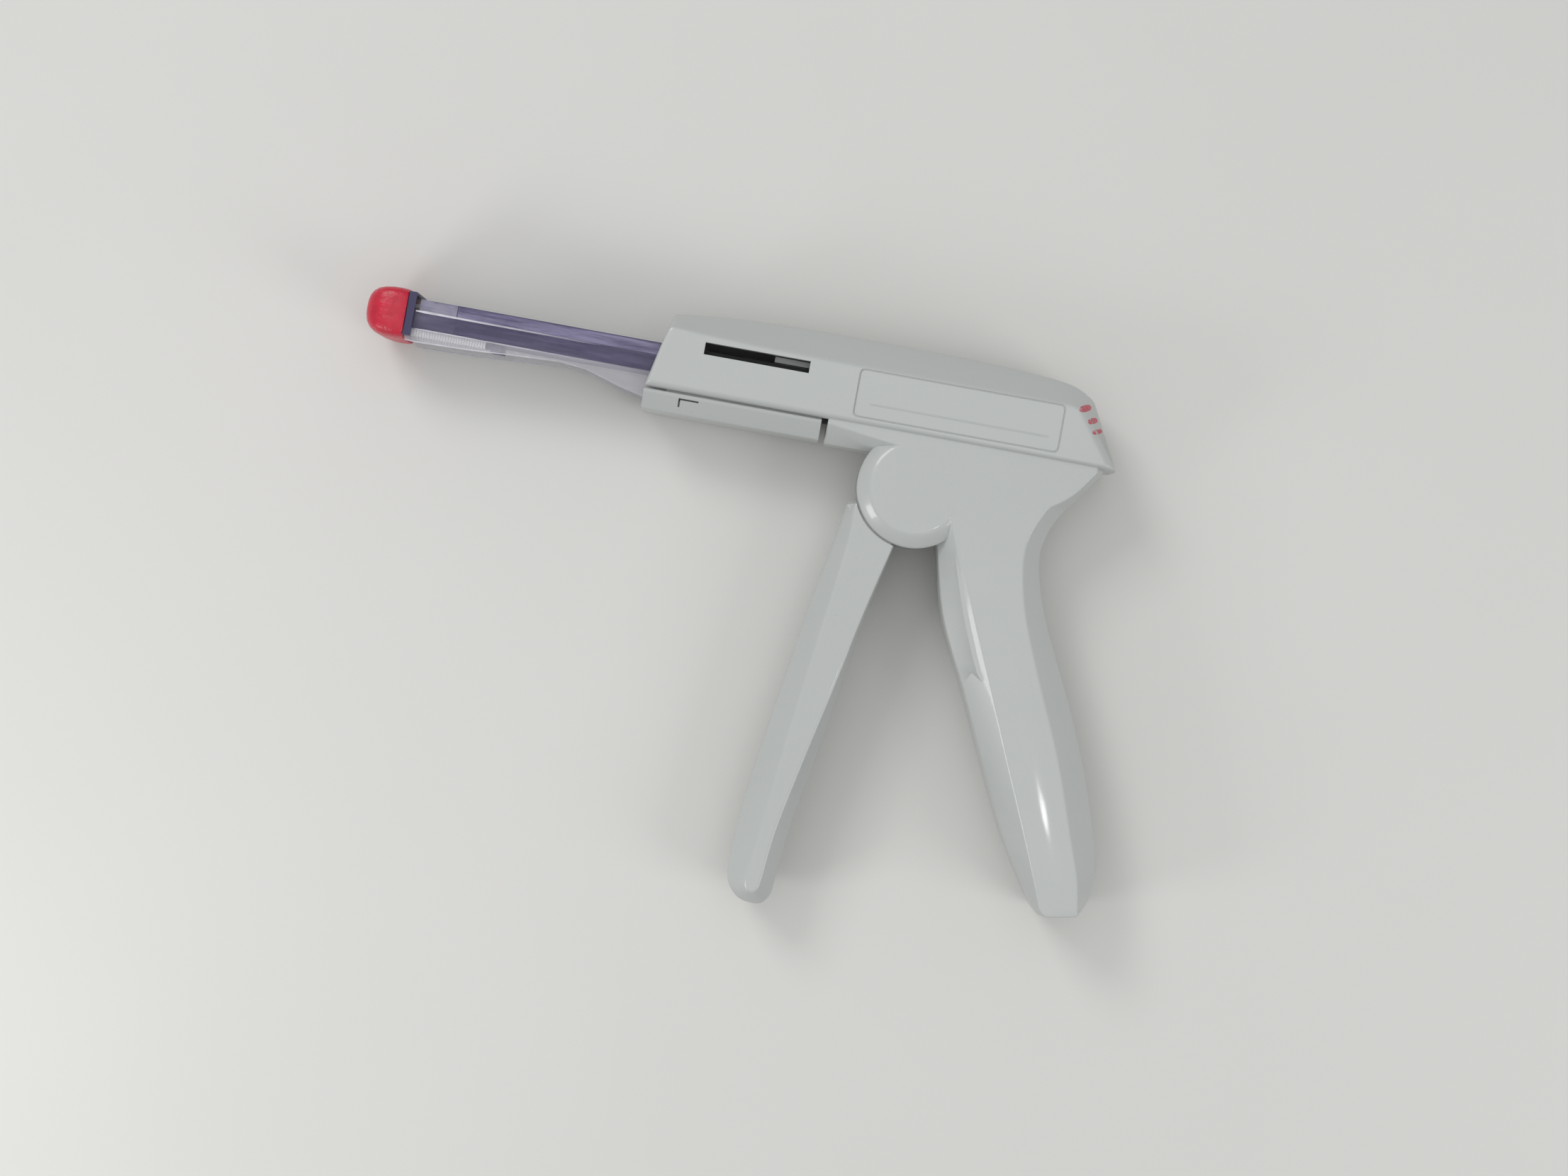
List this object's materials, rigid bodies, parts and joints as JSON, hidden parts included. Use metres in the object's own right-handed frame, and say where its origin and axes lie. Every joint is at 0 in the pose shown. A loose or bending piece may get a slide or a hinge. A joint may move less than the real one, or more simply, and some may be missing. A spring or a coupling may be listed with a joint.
{
  "type": "skin stapler",
  "caption": "Hand-squeezed surgical stapler with a pistol grip, hinged trigger, slim clear nose, soft tip cap and a row of skin staples.",
  "frame": {"origin": "centre of the bounding box in plan, on the flat side that the stapler lies on", "axes": "+X along the barrel from the tip to the rear, +Y towards the top of the tool, +Z across the tool, out of the face that looks up"},
  "size_m": [0.1762, 0.1238, 0.023],
  "materials": {
    "shell": "pale grey moulded polymer with a fine satin skin",
    "clear_nose": "clear moulded polymer",
    "violet": "dark violet moulded polymer",
    "slide": "dark violet moulded polymer, slightly worn where it slides",
    "indicator": "mid grey moulded polymer",
    "steel": "stamped stainless steel",
    "staple_wire": "bright drawn stainless wire",
    "spring_wire": "drawn spring wire",
    "cap_red": "soft red moulded cap with a slight sheen"
  },
  "bodies": {
    "body": {"housing_left": "shell", "housing_right": "shell", "underside_cover": "shell", "nose_shroud": "clear_nose", "nose_collar": "violet", "magazine": "violet", "driver_guide": "violet", "anvil_rail": "steel", "staple_stack": "staple_wire", "spring_rod": "steel", "lever_pin": "steel", "pivot_pin": "steel", "nose_latch": "steel", "return_spring": "spring_wire", "follower_spring": "spring_wire"},
    "trigger": {"trigger": "shell", "drive_pin": "steel"},
    "drive": {"drive_bar": "slide"},
    "lever": {"former_lever": "steel", "cam_pin": "steel"},
    "former": {"former": "steel"},
    "follower": {"feed_shoe": "violet", "feed_strip": "steel", "stack_indicator": "indicator"},
    "cap": {"tip_cap": "cap_red"}
  },
  "joints": [
    {"name": "trigger_squeeze", "type": "hinge", "parent": "body", "child": "trigger", "pos_m": [0.0351, 0.03205, 0.0115], "axis": [0, 0, 1], "range_deg": [0, 30], "stiffness_Nm_per_rad": 0.4, "springref_deg": -11.46},
    {"name": "drive_slide", "type": "slide", "parent": "body", "child": "drive", "axis": [-1, 0, 0], "range_m": [0, 0.0089], "deforming": ["return_spring"]},
    {"name": "lever_rock", "type": "hinge", "parent": "body", "child": "lever", "pos_m": [-0.0569, 0.0514, 0.0115], "axis": [0, 0, 1], "range_deg": [0, 6.16]},
    {"name": "former_press", "type": "slide", "parent": "body", "child": "former", "axis": [0, -1, 0], "range_m": [0, 0.00262]},
    {"name": "follower_feed", "type": "slide", "parent": "body", "child": "follower", "axis": [-1, 0, 0], "range_m": [0, 0.0195], "deforming": ["staple_stack", "follower_spring"]},
    {"name": "cap_pull", "type": "slide", "parent": "body", "child": "cap", "axis": [-1, 0, 0], "range_m": [0, 0.012]}
  ],
  "couplings": [
    {"joint": "drive_slide", "follows": "trigger_squeeze", "m_per_rad": 0.016806},
    {"joint": "lever_rock", "follows": "trigger_squeeze", "ratio": 0.20474},
    {"joint": "former_press", "follows": "trigger_squeeze", "m_per_rad": 0.0049656}
  ]
}
